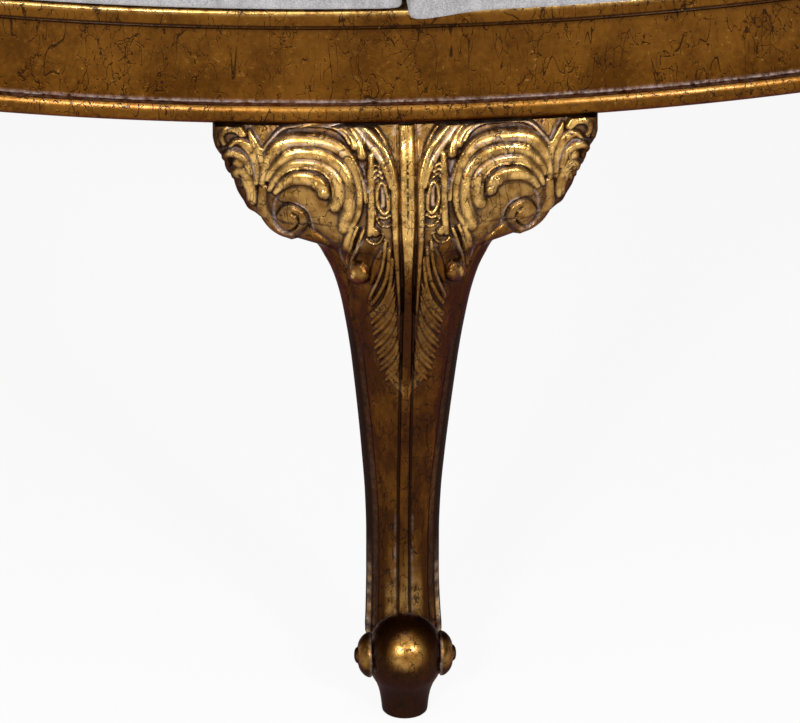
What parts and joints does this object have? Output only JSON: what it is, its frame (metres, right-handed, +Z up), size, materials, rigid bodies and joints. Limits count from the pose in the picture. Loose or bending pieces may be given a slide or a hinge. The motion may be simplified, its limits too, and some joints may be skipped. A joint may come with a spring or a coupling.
{
  "type": "round sofa",
  "caption": "Round lobby sofa: velvet seats about a tapered button-back column, on a moulded gilded rail and carved gilded cabriole legs with scroll toes.",
  "frame": {"origin": "on the floor, on the sofa's upright axis", "axes": "+Z up along the axis of the round; one leg at -Y, the legs spaced evenly about +Z"},
  "size_m": [1.4998, 1.5286, 1.0468],
  "materials": {
    "gilt": "antique gold leaf over carved and moulded wood, worn to brown in the hollows",
    "velvet": "silver-grey crushed velvet over foam and springs",
    "beech": "planed hardwood, unfinished",
    "plywood": "birch plywood, unfinished",
    "steel": "zinc-plated",
    "nylon": "dark moulded",
    "black_cloth": "woven dust-cover cloth"
  },
  "bodies": {
    "root": {"rail_section_1": "gilt", "rail_section_2": "gilt", "rail_section_3": "gilt", "rail_section_4": "gilt", "rail_section_5": "gilt", "rail_section_6": "gilt", "rail_spline_1": "beech", "rail_spline_2": "beech", "rail_spline_3": "beech", "rail_spline_4": "beech", "rail_spline_5": "beech", "rail_spline_6": "beech", "leg_1": "gilt", "leg_2": "gilt", "leg_3": "gilt", "leg_4": "gilt", "leg_5": "gilt", "leg_6": "gilt", "leg_bolt_1": "steel", "leg_bolt_2": "steel", "leg_bolt_3": "steel", "leg_bolt_4": "steel", "leg_bolt_5": "steel", "leg_bolt_6": "steel", "foot_glide_1": "nylon", "foot_glide_2": "nylon", "foot_glide_3": "nylon", "foot_glide_4": "nylon", "foot_glide_5": "nylon", "foot_glide_6": "nylon", "seat_bearer_1": "beech", "seat_bearer_2": "beech", "seat_bearer_3": "beech", "seat_bearer_4": "beech", "seat_bearer_5": "beech", "seat_bearer_6": "beech", "hub_block": "beech", "deck_panel_1": "plywood", "deck_panel_2": "plywood", "deck_panel_3": "plywood", "dust_cover": "black_cloth", "seat_cushion_1": "velvet", "seat_cushion_2": "velvet", "seat_cushion_3": "velvet", "seat_cushion_4": "velvet", "seat_cushion_5": "velvet", "seat_cushion_6": "velvet", "column_base": "plywood", "column_top": "plywood", "column_skin": "plywood", "back_pad_1": "velvet", "back_pad_2": "velvet", "back_pad_3": "velvet", "back_pad_4": "velvet", "back_pad_5": "velvet", "back_pad_6": "velvet", "crown_ring": "gilt", "top_pad": "velvet"}
  },
  "joints": []
}
